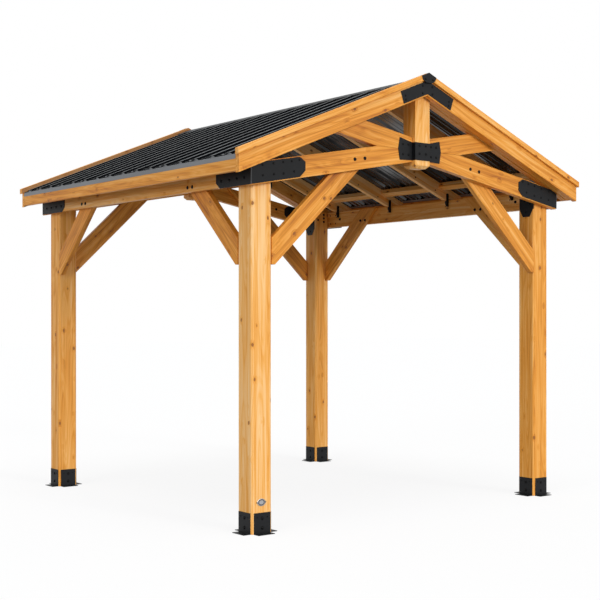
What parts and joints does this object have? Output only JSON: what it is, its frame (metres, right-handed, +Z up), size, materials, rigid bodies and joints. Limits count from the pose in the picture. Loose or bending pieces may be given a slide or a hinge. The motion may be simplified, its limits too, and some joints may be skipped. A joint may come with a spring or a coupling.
{
  "type": "garden gazebo",
  "caption": "Free-standing timber gazebo with braced posts, scissor-truss gables and a ribbed steel gable roof, tied together by folded black steel plates.",
  "frame": {"origin": "ground centre: middle of the roof's width and length, at the level the posts stand on", "axes": "+Z up, +X across the gable to the right seen from the front, +Y along the ridge to the back"},
  "size_m": [2.99, 2.926, 2.8579],
  "materials": {
    "timber": "honey stained cedar, satin",
    "black_steel": "satin black powder coat",
    "roof_steel": "charcoal painted sheet, semi-gloss",
    "flashing": "grey painted sheet, semi-gloss"
  },
  "bodies": {
    "root": {"chevron_plates": "black_steel", "corner_plates_back": "black_steel", "corner_plates_front": "black_steel", "eave_flashings": "flashing", "fascia_left": "timber", "fascia_right": "timber", "gable_braces_back": "timber", "gable_braces_front": "timber", "gable_rafters_back": "timber", "gable_rafters_front": "timber", "inner_brackets": "black_steel", "king_plates": "black_steel", "king_post_back": "timber", "king_post_front": "timber", "lower_chords_back": "timber", "lower_chords_front": "timber", "peak_caps": "black_steel", "post_back_left": "timber", "post_back_right": "timber", "post_feet_back_left": "black_steel", "post_feet_back_right": "black_steel", "post_feet_front_left": "black_steel", "post_feet_front_right": "black_steel", "post_front_left": "timber", "post_front_right": "timber", "purlins": "timber", "rafter_brackets": "black_steel", "rafters_left": "timber", "rafters_right": "timber", "rake_boards_back": "timber", "rake_boards_front": "timber", "rake_trims_back": "timber", "rake_trims_front": "timber", "ridge_board": "timber", "ridge_cap": "roof_steel", "roof_panel_left": "roof_steel", "roof_panel_right": "roof_steel", "side_beam_left": "timber", "side_beam_right": "timber", "side_braces_left": "timber", "side_braces_right": "timber", "top_chords_back": "timber", "top_chords_front": "timber", "truss_struts_back": "timber", "truss_struts_front": "timber"}
  },
  "joints": []
}
